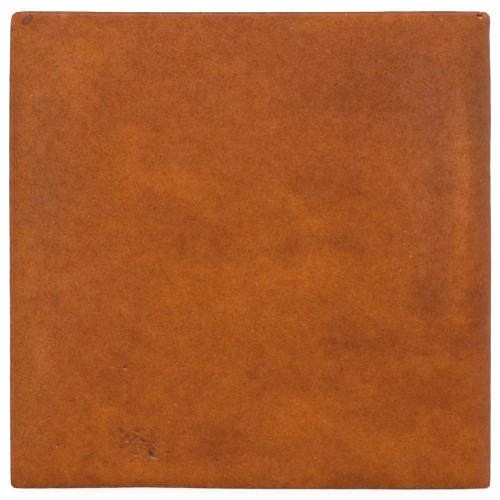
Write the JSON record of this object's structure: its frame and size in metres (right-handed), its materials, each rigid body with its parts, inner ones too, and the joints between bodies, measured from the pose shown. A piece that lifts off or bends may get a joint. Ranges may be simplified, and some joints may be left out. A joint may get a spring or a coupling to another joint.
{
  "type": "bullnose wall tile",
  "caption": "Square handmade fired-clay wall tile with a flat back, soft edges and one edge rounded over to finish an open side of a wall.",
  "frame": {"origin": "centre of the flat back, the middle of the tile's width and height", "axes": "+Z out of the face, +X across the tile to the rounded edge, +Y towards the side shown uppermost in the picture"},
  "size_m": [0.3048, 0.3024, 0.016],
  "materials": {
    "fired_clay": "satin"
  },
  "bodies": {
    "root": {"bullnose_tile": "fired_clay"}
  },
  "joints": []
}
